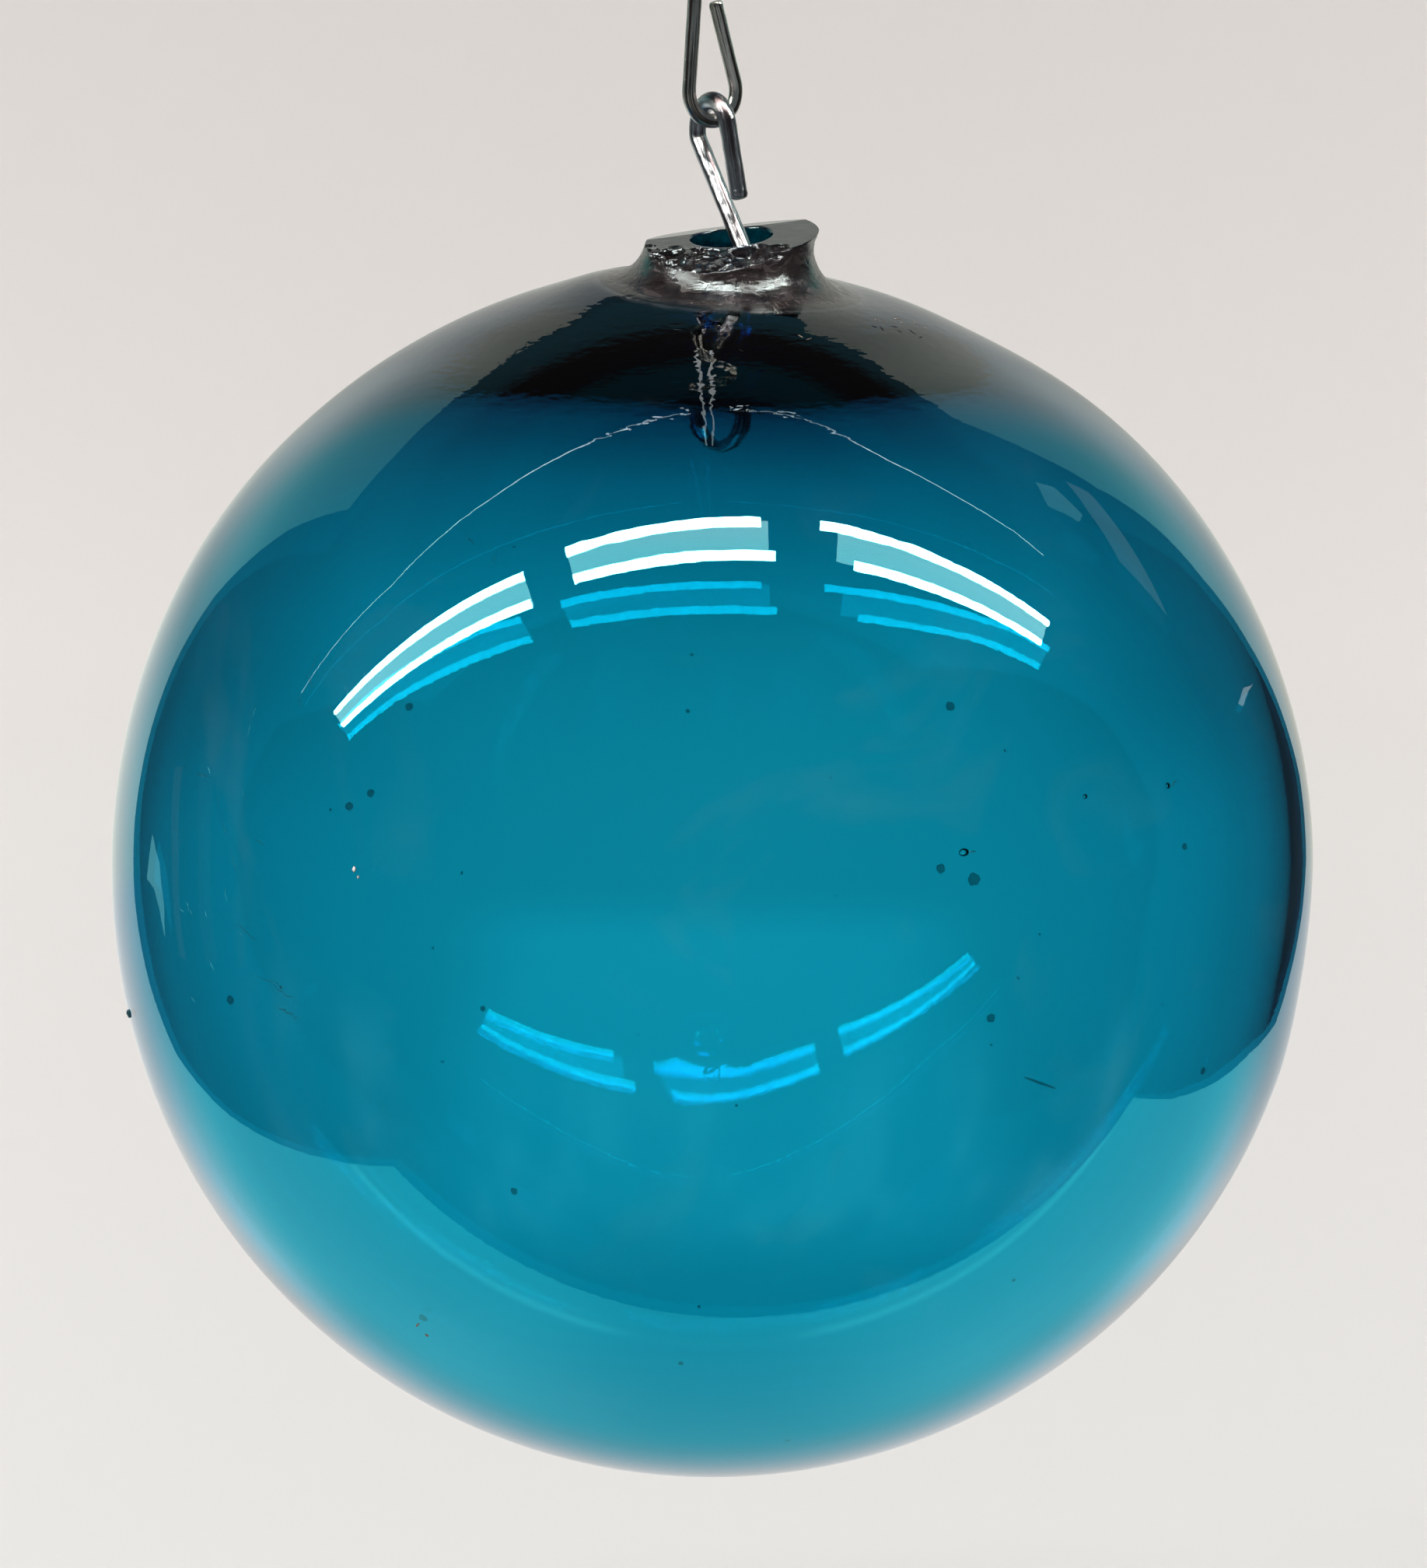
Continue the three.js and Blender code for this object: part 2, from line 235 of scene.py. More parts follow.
def outer_skin(theta):
    """The outside's rings of radius and height, with their hand-blown unevenness, on past the break."""
    foot, foot_polar = corner_circle(RADIUS, WAIST_R, NECK_FILLET)
    quarter = math.pi / 2
    sphere = arc((0, 0), RADIUS, -quarter, quarter - foot_polar, SPHERE_STEPS, STRETCH)
    fillet = arc(foot, NECK_FILLET, 3 * quarter - foot_polar, 2 * quarter, 60, STRETCH)
    waist = fillet[-1]
    lip = waist + np.linspace(0, 1, 25)[1:, None] * np.array([LIP_FLARE, LIP_RISE])
    stub = lip[-1] + np.linspace(0, 1, 20)[1:, None] * np.array([0.0, 3.0])
    profile = np.concatenate([sphere, fillet[1:], lip, stub])
    profile[0, 0] = 0
    tangent = np.gradient(profile, axis=0)
    tangent /= np.linalg.norm(tangent, axis=1, keepdims=True)
    rho, h = profile[:, :1] + 0 * theta, profile[:, 1:] + 0 * theta
    direction = neck_directions(rho, h, theta[None, :])
    offset = outline_bulge(direction) + 0.012 * waves(direction, 12, 9.0, 5) + 0.003 * waves(direction, 12, 26.0, 6)
    # Round the neck the shoulder flares on one side and is sunk on the other
    side = np.cos(theta[None, :] - math.radians(238))
    flare = np.exp(-(((rho - 14.5) / 5.0) ** 2)) * (h > 60) * 0.6 * side**3
    sunk = -0.75 * np.exp(-(((rho - 30) / 12.0) ** 2)) * (h > 50) * smoothstep(-side, 0.2, 1)
    collar = smoothstep(h, waist[1] - 1.5, waist[1] + 0.5)
    offset = (offset + flare + sunk) * (1 - collar) + collar * 0.06 * waves(direction, 10, 40.0, 9)
    rho, h = rho + tangent[:, 1:] * offset, h - tangent[:, :1] * offset
    rho[0] = 0.0
    return rho, h


def build_glass():
    theta = np.linspace(0, 2 * np.pi, SIDES, endpoint=False)
    even = 0 * theta
    rho, h = outer_skin(theta)
    rings = [(rho[i], h[i]) for i in range(0, EVEN_STEPS, 2)]

    # Above the even rings each bearing's profile is cut where it meets the broken face
    level, _ = broken_face(rho, theta[None, :] + 0 * rho)
    index = np.arange(len(rho))
    first = ((h > level) & (index[:, None] > SPHERE_STEPS)).argmax(axis=0)
    end = np.empty(SIDES)
    for j, i in enumerate(first):
        a, b = h[i - 1, j] - level[i - 1, j], h[i, j] - level[i, j]
        end[j] = i - 1 + a / (a - b)
    for k in range(UPPER_RINGS + 1):
        place = EVEN_STEPS + (end - EVEN_STEPS) * (k / UPPER_RINGS)
        rings.append(tuple(np.array([np.interp(place[j], index, v[:, j]) for j in range(SIDES)]) for v in (rho, h)))
    rim, rough_rings = rings[-1][0], {}
    for k in range(1, FACE_RINGS + 1):
        r = rim + (BORE_R - rim) * (k / FACE_RINGS)
        z, rough_rings[len(rings)] = broken_face(r, theta)
        rings.append((r, z - 0.01 if k == 1 else z))
    top_of_bore = rings[-1][1]

    # Down the bore, round its lower edge and over the inside
    inner, drop = RADIUS - WALL, NECK_WALL - WALL
    inner_stretch = (BALL_HEIGHT / 2 - WALL) / inner
    mouth, mouth_polar = corner_circle(inner, BORE_R, BORE_EDGE)
    edge = arc(mouth, BORE_EDGE, math.pi, 1.5 * math.pi - mouth_polar, 12, inner_stretch) - np.array([0, drop])
    for k in range(1, BORE_RINGS):
        z = top_of_bore + (edge[0, 1] - top_of_bore) * k / BORE_RINGS
        rings.append((BORE_R + 0.05 * np.sin(theta * 3 + k * 0.1), z))
    rings += [(p[0] + even, p[1] + even) for p in edge]
    sixty = math.radians(60)
    polar = np.concatenate([np.linspace(mouth_polar, sixty, 130)[1:], np.linspace(sixty, math.pi, 130)[1:]])
    for a in polar:
        out, up = math.sin(a), math.cos(a)
        d = neck_directions(out * RADIUS + even, up * STRETCH * RADIUS + even, theta)
        blend = float(smoothstep(np.array(math.degrees(a)), 5, 12))
        extra = drop + (wall_at(math.degrees(a)) - WALL - drop) * blend
        wobble = blend * (outline_bulge(d) + 0.03 * waves(d, 12, 5.0, 15) + 0.012 * waves(d, 12, 13.0, 16))
        n = unit(np.array([out * blend, up * blend + (1 - blend)]))
        r = inner * out - n[0] * extra + out * wobble
        rings.append((even if a == polar[-1] else r, inner * up * inner_stretch - n[1] * extra + up * wobble))

    points = np.stack([np.stack([r * np.cos(theta), r * np.sin(theta), z], -1) for r, z in rings])
    vertices = list((leaned(points) * MM + CENTRE).reshape(-1, 3))
    faces = ring_faces(len(rings), SIDES)
    first_face, first_bore = min(rough_rings), max(rough_rings) + 1
    marks = {name: np.zeros((len(rings), SIDES)) for name in ("break", "bore", "grime")}
    # The collar's mask carries its lumps and its painted haze, over the outside near the neck and over the broken face
    for i, (r, z) in enumerate(rings):
        if i < first_face:
            marks["grime"][i] = smoothstep(-r, -15.4, -12.4) * (z > 60)
        elif i < first_bore:
            marks["break"][i] = rough_rings[i]
            marks["grime"][i] = 0.06 + 0.4 * rough_rings[i]
        # Down the bore: the mask of its painted shade, weaker further down
        elif i < first_bore + 60:
            marks["bore"][i] = 1 - (i - first_bore) / 60 * 0.5

    # Seeds: tiny bubbles in the wall, as hollows of the same mesh
    ways = rng.normal(size=(60, 3))
    ways /= np.linalg.norm(ways, axis=1, keepdims=True)
    seeds = [(placed(0.0224, -0.0628, 0.0342) - CENTRE, 0.36), (placed(0.0437, -0.05, 0.0347) - CENTRE, 0.3)]
    seeds += zip(ways[:34], rng.uniform(0.1, 0.26, 34))
    lat, lon = 8, 12
    for way, size in seeds:
        d, long = unit(way), 1.0 + 0.5 * rng.random()
        side = unit(np.cross(d, UP))
        half_axes = np.array([d * 0.7, side * long, np.cross(d, side)]) * size * MM
        faces += ring_faces(lat + 1, lon, len(vertices))
        vertices += globe(CENTRE + d * (RADIUS - WALL / 2) * MM, half_axes, lat, lon)
    obj = new_mesh("blown_glass", vertices, faces)
    for name, values in marks.items():
        full = np.zeros(len(vertices))
        full[: values.size] = values.ravel()
        obj.data.attributes.new(name, "FLOAT", "POINT").data.foreach_set("value", full.astype(np.float32))
    return obj


# Wires

STEP = 0.12


def point(x, y):
    return np.array([x, y], dtype=float)


def along(angle):
    return np.array([math.cos(angle), math.sin(angle)])


def heading(vector):
    return math.atan2(vector[1], vector[0]) % (2 * math.pi)


def line(a, b):
    n = max(2, int(np.linalg.norm(b - a) / STEP))
    return [a + (b - a) * i / n for i in range(n + 1)]


def arc_points(centre, radius, start, end):
    n = max(4, int(abs(end - start) * radius / STEP))
    return [centre + radius * along(start + (end - start) * i / n) for i in range(n + 1)]


def tangent_angle(centre, radius, outer, side):
    arm = outer - centre
    return heading(arm) - side * math.acos(radius / np.linalg.norm(arm))


def bend_at(last, corner, radius, heading_in, heading_out):
    turn = heading_out - heading_in
    square = math.copysign(math.pi / 2, turn)
    start = corner - along(heading_in) * radius * math.tan(abs(turn) / 2)
    centre = start + along(heading_in + square) * radius
    return line(last, start) + arc_points(centre, radius, heading_in - square, heading_out - square)


BALL_CENTRE = point(0, -RIM_DROP - FACE * math.cos(NECK_LEAN))
NECK_UP, NECK_SIDE = along(math.pi / 2 - NECK_LEAN), along(-NECK_LEAN)


def in_ball(beside, above):
    return BALL_CENTRE + NECK_SIDE * beside + NECK_UP * above


def lower_route():
    """From the end of the free leg round the eye, down the shank and bore, and round to the tip."""
    eye_r = EYE_INSIDE + LOW_R
    eye = point(0, UP_R + GAP + LOW_R - eye_r)
    leg_top = eye + eye_r * along(FREE_SPLAY)
    leg_end = leg_top + FREE_LEG * along(FREE_SPLAY - math.pi / 2)
    route = line(leg_end, leg_top) + arc_points(eye, eye_r, FREE_SPLAY, math.pi)
    bore_side = BORE_R - GAP - LOW_R
    corner = in_ball(bore_side, FACE - ENTRY_DEPTH)
    bend = point(SHANK_BEND - eye_r, eye[1])
    leave = tangent_angle(bend, SHANK_BEND, corner, 1)
    if leave < math.pi:
        leave += 2 * math.pi
    route += arc_points(bend, SHANK_BEND, math.pi, leave)
    route += bend_at(route[-1], corner, ENTRY_BEND, leave + math.pi / 2, heading(NECK_UP) + math.pi)
    tip_side = BORE_R + BORE_EDGE + LOW_R
    inner = RADIUS - WALL
    ceiling = (BALL_HEIGHT / 2 - WALL) * math.sqrt(1 - ((tip_side + LOW_R) / inner) ** 2) - (NECK_WALL - WALL)
    tip_top = ceiling - GAP
    loop_r = (bore_side + tip_side) / 2
    loop = in_ball(bore_side - loop_r, tip_top - TIP_RISE)
    route += line(route[-1], in_ball(bore_side, tip_top - TIP_RISE))
    route += arc_points(loop, loop_r, -NECK_LEAN, -NECK_LEAN - math.pi)
    return route + line(route[-1], in_ball(-tip_side, tip_top))


def upper_route():
    """From the mouth down round the bottom loop, up the shank and knee, and over the open top loop."""
    loop_r = LINK_INSIDE + UP_R
    loop = point(0, loop_r)
    foot = loop + loop_r * along(math.pi - SHANK_LEAN)
    shank_at = lambda z: foot[0] + (z - foot[1]) * math.tan(SHANK_LEAN)
    mouth = point(shank_at(MOUTH_HEIGHT) + UPPER_WIRE + MOUTH_GAP, MOUTH_HEIGHT)
    leg = tangent_angle(loop, loop_r, mouth, 1)
    route = line(mouth, loop + loop_r * along(leg))
    route += arc_points(loop, loop_r, leg, -math.pi - SHANK_LEAN)
    top_r = HANG_INSIDE + UP_R
    top = point(0, HOOK_REACH + UP_R - top_r)
    knee = point(shank_at(KNEE_HEIGHT), KNEE_HEIGHT)
    arrive = tangent_angle(top, top_r, knee, -1) - 2 * math.pi
    route += bend_at(route[-1], knee, KNEE_BEND, math.pi / 2 - SHANK_LEAN, arrive + math.pi / 2)
    return route + arc_points(top, top_r, arrive, TOP_END)


# A snipped end: how wide each ring is, and how far it stands in from the end
SNIP = [(0.02, 0.03), (0.55, 0.02), (0.80, 0.05), (0.93, 0.16), (0.985, 0.30), (1.02, 0.42), (1.03, 0.52), (1.0, 0.68)]
SNIP_LENGTH = 0.85


def build_wire(name, route, side, radius, flats, seed, sides=28):
    """Sweeps a slightly uneven round section along a flat route, with a snipped end at each end.
    Each of flats says where a flattened stretch starts and ends, how wide it is and how thick."""
    points = [route[0]]
    for p in route[1:]:
        if np.linalg.norm(p - points[-1]) > 1e-4:
            points.append(p)
    flat = np.array(points)
    tangent = np.gradient(flat, axis=0)
    tangent /= np.linalg.norm(tangent, axis=1, keepdims=True)
    length = np.concatenate([[0], np.cumsum(np.linalg.norm(np.diff(flat, axis=0), axis=1))])
    phase = np.random.default_rng(seed).uniform(0, 2 * np.pi, 6)
    turn = 2 * np.pi * np.arange(sides) / sides
    rings, wire = [], []

    def ring(p, t, s, scale, push=0.0):
        wide = 1 + 0.012 * math.sin(s * 0.9 + phase[0]) + 0.01 * math.sin(s * 2.3 + phase[1])
        thick = 1 + 0.012 * math.sin(s * 1.1 + phase[2]) + 0.008 * math.sin(s * 3.1 + phase[3])
        for start, end, w, k in flats:
            near = float(smoothstep(s, start - 0.8, start + 0.8) * (1 - smoothstep(s, end - 0.8, end + 0.8)))
            wide *= 1 + (w - 1) * near
            thick *= 1 + (k - 1) * near
        q = p + t * push + np.outer(radius * scale * wide * np.cos(turn), [-t[1], t[0]])
        off_plane = np.outer(radius * scale * thick * np.sin(turn), np.cross(side, UP))
        rings.append(q[:, :1] * side + q[:, 1:] * UP + off_plane)
        wire.append(np.stack([np.cos(turn), np.sin(turn), s + 0 * turn], -1))

    for scale, push in SNIP:
        ring(flat[0], tangent[0], 0.0, scale, push)
    for i in range(1, len(flat) - 1):
        if SNIP_LENGTH < length[i] < length[-1] - SNIP_LENGTH:
            ring(flat[i], tangent[i], length[i], 1.0)
    for scale, push in reversed(SNIP):
        ring(flat[-1], tangent[-1], length[-1], scale, -push)
    vertices = (np.array(rings).reshape(-1, 3) - UP * HOOK_REACH) * MM
    faces = ring_faces(len(rings), sides)
    faces += [tuple(range(sides))[::-1], tuple(range((len(rings) - 1) * sides, len(rings) * sides))]
    obj = new_mesh(name, vertices, faces)
    # Where each point lies round and along the wire, for its draw marks
    data = obj.data.attributes.new("wire", "FLOAT_VECTOR", "POINT").data
    data.foreach_set("vector", np.array(wire, np.float32).ravel())
    return obj


# Materials

class Graph:
    """Makes and joins the nodes of one material or world."""

    def __init__(self, owner, clear=False):
        owner.use_nodes = True
        self.nodes, self.link = owner.node_tree.nodes, owner.node_tree.links.new
        if clear:
            self.nodes.clear()

    def fill(self, n, *by_place, **by_name):
        """Sets a node's own settings, then its inputs, or links these to other nodes' sockets.
        From_Min stands for the input From Min."""
        for key, value in [*by_name.items(), *enumerate(by_place)]:
            if isinstance(key, str) and hasattr(n, key):
                setattr(n, key, value)
                continue
            socket = n.inputs[key.replace("_", " ") if isinstance(key, str) else key]
            if isinstance(value, bpy.types.NodeSocket):
                self.link(value, socket)
            else:
                socket.default_value = value
        return n

    def new(self, kind, *by_place, **by_name):
        return self.fill(self.nodes.new("ShaderNode" + kind), *by_place, **by_name)

    def ramp(self, value, low, high, start=0.0, end=1.0, kind="LINEAR"):
        """A number that goes from start to end while value goes from low to high."""
        n = self.new("MapRange", interpolation_type=kind, Value=value, From_Min=low, From_Max=high)
        return self.fill(n, To_Min=start, To_Max=end).outputs["Result"]

    def ease(self, value, low, high, start=0.0, end=1.0):
        return self.ramp(value, low, high, start, end, "SMOOTHSTEP")

    def calc(self, operation, *values):
        return self.new("Math", *values, operation=operation).outputs[0]

    def times(self, a, b):
        return self.calc("MULTIPLY", a, b)

    def plus(self, a, b):
        return self.calc("ADD", a, b)

    def vector(self, operation, *values):
        n = self.new("VectorMath", *values, operation=operation)
        return n.outputs["Value" if operation in ("DOT_PRODUCT", "LENGTH") else "Vector"]

    def mix(self, factor, a, b, kind="RGBA"):
        return self.new("Mix", data_type=kind, Factor=factor, A=a, B=b).outputs["Result"]

    def mapped(self, vector, **settings):
        return self.new("Mapping", Vector=vector, **settings).outputs["Vector"]

    def noise(self, vector, **settings):
        return self.new("TexNoise", Vector=vector, **settings).outputs["Fac"]

    def mark(self, name):
        return self.new("Attribute", attribute_name=name).outputs["Fac"]

    def bump(self, height, distance, strength, *under):
        n = self.new("Bump", Height=height, Distance=distance, Strength=strength)
        return (self.fill(n, Normal=under[0]) if under else n).outputs["Normal"]

    def place(self, kind="Object"):
        return self.new("TexCoord").outputs[kind]

    def shade(self, value, stops):
        """A colour by a number from 0 to 1, through the given stops."""
        n = self.new("ValToRGB", value)
        elements = n.color_ramp.elements
        elements.remove(elements[1])
        elements[0].position, elements[0].color = stops[0][0], (*stops[0][1], 1)
        for position, c in stops[1:]:
            elements.new(position).color = (*c, 1)
        return n.outputs["Color"]

    def straight(self):
        """One for what is seen straight through clear glass, and nought for a mirror image."""
        return self.calc("LESS_THAN", self.new("LightPath").outputs["Glossy Depth"], 0.5)


def material(name):
    m = bpy.data.materials.new(name)
    g = Graph(m)
    return m, g, g.nodes["Principled BSDF"]


def glass_material():
    m, g, shader = material("teal_glass")
    g.fill(shader, Base_Color=(1, 1, 1, 1), Transmission_Weight=1, IOR=1.52)
    absorb = g.new("VolumeAbsorption", Color=(0.0, 0.80, 0.873, 1), Density=1130.0)
    g.link(absorb.outputs["Volume"], g.nodes["Material Output"].inputs["Volume"])
    place = g.place()
    about_centre = g.mapped(place, Location=(0, 0, -CENTRE_Z * MM))
    height = g.new("SeparateXYZ", about_centre).outputs["Z"]
    grime, broken = g.mark("grime"), g.mark("break")

    # Fine rings left by turning the hot glass: stretched round the neck, strongest above
    rings = g.noise(g.mapped(about_centre, Scale=(560, 560, 2400)), Scale=1.0, Detail=1.5, Roughness=0.5)
    ripple = g.bump(rings, 0.000028, g.ramp(height, 0.0635, 0.0695, 0.03, 1.0))
    # Lumps and drag lines on the collar, where the glass was chilled and cracked off
    lump_place = g.mapped(about_centre, Scale=(520, 520, 1100))
    lumps = g.noise(lump_place, Scale=1.0, Detail=3.0, Roughness=0.6, Distortion=0.5)
    uneven = g.bump(lumps, 0.00011, grime, ripple)
    # Small flat facets of the break, each with a slope of its own
    cells = g.new("TexVoronoi", Vector=place, Scale=1500.0)
    local = g.vector("SUBTRACT", place, cells.outputs["Position"])
    slope = g.vector("SUBTRACT", cells.outputs["Color"], (0.5, 0.5, 0.5))
    facets = g.bump(g.vector("DOT_PRODUCT", local, slope), 1.1, broken, uneven)

    # Painted reflection tint: the clear body's mirror images lose most of their red, less so on the dark shoulder
    clear = g.mix(g.ramp(height, 0.0, 0.038), (0.03, 1, 1, 1), (0.25, 1, 1, 1))
    tint = g.mix(g.ramp(height, 0.057, 0.068), clear, (0.86, 0.96, 1, 1))
    # The top of the ball is a little smoky; the bore's wall is darkened to deep teal, as painted shade in the hole
    smoke = g.ease(height, 0.044, 0.064, 1.0, 0.76)
    grey = g.new("CombineXYZ", smoke, smoke, smoke).outputs[0]
    deep = g.mix(g.mark("bore"), grey, (0.3, 0.56, 0.63, 1))
    # A dark brownish haze is painted on the collar in streaks, standing in for its dim reflection and dulling its
    # highlights, and faint dried smears lie on the body
    painted_haze_cover = g.times(g.ramp(lumps, 0.3, 0.7, 0.15, 0.7), grime)
    base_with_painted_shade = g.mix(g.ramp(grime, 0.0, 0.25), deep, (0.046, 0.033, 0.031, 1))
    smear = g.noise(place, Scale=38.0, Detail=5.0, Roughness=0.62, Distortion=1.2)
    veiled = g.plus(g.ramp(smear, 0.56, 0.76, 0.0, 0.008), painted_haze_cover)
    rough = g.calc("MULTIPLY_ADD", painted_haze_cover, 0.5, g.ramp(smear, 0.58, 0.8, 0.0, 0.05))
    g.fill(shader, Base_Color=base_with_painted_shade, Specular_Tint=tint, Normal=facets, Roughness=rough)
    g.fill(shader, Transmission_Weight=g.calc("SUBTRACT", 1.0, veiled))
    return m


def steel_material(name, tint, dark, streak_seed):
    """Plated wire: wide light and dark stripes along it, painted reflections of the room, fine draw marks, and scuffs.
    """
    m, g, shader = material(name)
    place = g.new("Attribute", attribute_name="wire").outputs["Vector"]
    # Painted reflection: the wide noise gives light and dark stripes along the wire; the fine noise gives draw marks
    wide_place = g.mapped(place, Scale=(2.1, 2.1, 0.05), Location=(streak_seed + 2.0, 0, 0))
    wide = g.noise(wide_place, Scale=1.0, Detail=2.0, Roughness=0.6)
    fine_place = g.mapped(place, Scale=(5.5, 5.5, 0.16), Location=(streak_seed, 0, 0))
    streaks = g.noise(fine_place, Scale=1.6, Detail=6.0, Roughness=0.7)
    scuff_place = g.mapped(place, Scale=(2.2, 2.2, 1.4))
    scuffs = g.noise(scuff_place, Scale=1.0, Detail=8.0, Roughness=0.75, Distortion=0.6)
    painted_stripes_and_draw_marks = g.ramp(g.mix(0.35, wide, streaks, "FLOAT"), 0.46, 0.56)
    normal = g.bump(scuffs, 0.00006, 0.5, g.bump(streaks, 0.00003, 0.5))
    gloss = g.ramp(scuffs, 0.35, 0.75, 0.09, 0.24)
    g.fill(shader, Metallic=0.93, Base_Color=g.mix(painted_stripes_and_draw_marks, tint, dark), Roughness=gloss, Normal=normal)
    return m


def grit_and_glint_material(name, pale, dark, scale=4000.0, rough=0.6, alpha=1.0):
    m, g, shader = material(name)
    grain = g.noise(g.place(), Scale=scale, Detail=3.0)
    g.fill(shader, Base_Color=g.mix(grain, (*dark, 1), (*pale, 1)), Roughness=rough, Alpha=alpha)
    return m


# Make the object

glass = build_glass()
glass.data.materials.append(glass_material())
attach(glass, "glass_ball")
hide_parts("glass_ball")

# Each wire's material: its metal's colour, then the dark of the reflection stripes painted along it
LOWER_FLATS = [(0.0, 8.6, 1.1, 0.94), (20, 31, 0.95, 1.0)]
lower = build_wire("lower_hook_wire", lower_route(), np.array([1.0, 0, 0]), LOW_R, LOWER_FLATS, 3)
lower.data.materials.append(steel_material("bright_wire", (0.47, 0.48, 0.50, 1), (0.12, 0.09, 0.095, 1), 0.0))
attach(lower, "lower_hook")
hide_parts("lower_hook")

upper = build_wire("upper_hook_wire", upper_route(), np.array([0, 1.0, 0]), UP_R, [], 4)
upper.data.materials.append(steel_material("yellowed_wire", (0.80, 0.77, 0.70, 1), (0.12, 0.09, 0.07, 1), 3.7))
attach(upper, "upper_hook")
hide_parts("upper_hook")

# Specks in the wall: right, away and up from the ball's centre, and how big
SPECKS = [
    (-27.8, -53.6, 44.4, 0.45), (21.4, -55.7, 45.3, 0.5), (-2.2, -58.9, 46.2, 0.22), (-31.3, -56.9, 37.2, 0.45),
    (-33.5, -56.7, 35.8, 0.5), (20.2, -64.0, 33.2, 0.5), (23.3, -63.6, 31.9, 0.7), (45.5, -51.9, 29.1, 0.4),
    (-47.2, -56.3, 14.5, 0.55), (-20.5, -68.7, 21.6, 0.3), (25.1, -67.7, 19.9, 0.5), (49.0, -56.3, 6.1, 0.45),
    (-18.2, -72.5, 4.3, 0.4), (-28.9, -67.3, -15.8, 0.6), (-3.1, -73.1, -16.0, 0.3), (29.4, -68.1, -10.2, 0.25),
]
SPECK_DEPTH, SPECK_SCALE = 1.2, 0.85


def build_specks():
    """Stones and ash specks that are shut in the wall, and one short dark scratch."""
    vertices, faces = [], []
    r = np.random.default_rng(12)

    def blob(middle, size, axis=None, longer=1.0):
        lat, lon = 8, 12
        lumps = r.uniform(0.7, 1.15, (lat + 1, lon))
        a0 = unit(axis if axis is not None else r.normal(size=3))
        a1 = unit(np.cross(a0, [0.3, 0.5, 0.8]))
        half_axes = np.array([a0 * longer, a1, np.cross(a0, a1)]) * size * SPECK_SCALE * MM
        faces.extend(f[::-1] for f in ring_faces(lat + 1, lon, len(vertices)))
        vertices.extend(globe(middle, half_axes, lat, lon, lumps))

    for x, y, z, size in SPECKS:
        d = unit(placed(x * MM, y * MM, z * MM) - CENTRE)
        blob(CENTRE + d * (RADIUS - SPECK_DEPTH) * MM, size)
    start, end = placed(28.1 * MM, -68.0 * MM, 13.9 * MM), placed(32.1 * MM, -66.7 * MM, 11.4 * MM)
    blob(CENTRE + unit((start + end) / 2 - CENTRE) * (RADIUS - 1.0) * MM, 0.16, end - start, 15.0)
    return new_mesh("wall_specks", vertices, faces)


def on_ball(x, y):
    """Where a place of the full-size picture falls on the ball, the way to it and the way it faces,
    in the camera's heading and about the ball's centre."""
    eye = np.array([0, -DISTANCE * math.cos(ELEVATION), DISTANCE * math.sin(ELEVATION)])
    ahead, over = np.array([0, math.cos(PITCH), -math.sin(PITCH)]), np.array([0, math.sin(PITCH), math.cos(PITCH)])
    size = np.array([RADIUS, RADIUS, RADIUS * STRETCH]) * MM
    d = unit(ahead + np.array([1, 0, 0]) * (x - MIDDLE_X) / FOCAL - over * (y - MIDDLE_Y) / FOCAL)
    a, b, c = (d / size) @ (d / size), 2 * (eye / size) @ (d / size), (eye / size) @ (eye / size) - 1
    spot = eye + d * (-b - math.sqrt(max(b * b - 4 * a * c, 0))) / (2 * a)
    return spot, d, unit(spot / size**2)


# Slivers on the outside: where each starts and ends in the picture, and how fat it is
SANDY = [
    (858, 419, 884, 417, 0.09), (866, 423, 878, 424, 0.06), (704, 405, 706, 406, 0.1), (951, 449, 957, 452, 0.05),
    (1027, 430, 1034, 434, 0.1), (1038, 437, 1045, 434, 0.07), (1124, 409, 1133, 413, 0.09),
    (1136, 411, 1141, 416, 0.11), (1149, 409, 1160, 410, 0.1), (1158, 414, 1166, 418, 0.08),
    (1172, 412, 1184, 419, 0.09), (1188, 423, 1193, 421, 0.06), (968, 379, 985, 391, 0.07), (978, 377, 994, 392, 0.06),
    (988, 381, 1003, 396, 0.08), (1000, 380, 1016, 393, 0.06), (1010, 379, 1030, 390, 0.07),
    (994, 392, 1002, 403, 0.05), (548, 1718, 551, 1716, 0.2), (535, 1706, 540, 1701, 0.12),
]
PALE = [
    (239, 1158, 249, 1180, 0.05), (232, 1168, 238, 1173, 0.04), (264, 1170, 267, 1179, 0.05),
    (302, 1186, 333, 1211, 0.04), (306, 1196, 318, 1207, 0.03), (330, 1255, 387, 1290, 0.035),
    (345, 1256, 366, 1271, 0.03), (354, 1293, 386, 1311, 0.06), (270, 1234, 276, 1249, 0.05),
    (327, 1076, 343, 1089, 0.03), (252, 995, 270, 1000, 0.05), (268, 985, 272, 996, 0.04), (324, 925, 331, 906, 0.04),
    (318, 948, 324, 930, 0.03), (286, 1050, 292, 1078, 0.03), (280, 1020, 284, 1046, 0.025),
    (312, 1010, 318, 1034, 0.025), (246, 1281, 252, 1289, 0.04), (300, 1100, 304, 1126, 0.025),
    (290, 1140, 293, 1162, 0.03), (1506, 1012, 1514, 1002, 0.06), (1246, 1096, 1256, 1094, 0.07),
    (1622, 1000, 1632, 1004, 0.03), (410, 840, 396, 872, 0.03), (398, 868, 402, 884, 0.04), (388, 892, 386, 910, 0.03),
    (600, 690, 612, 700, 0.04), (640, 712, 634, 724, 0.03),
]
# Two white slivers painted on as the glints of a seed in the wall
PAINTED_GLINTS = [(453, 1117, 459, 1118, 0.3), (459.5, 1127, 463, 1128, 0.18)]
NUB_AT = (167, 1303)


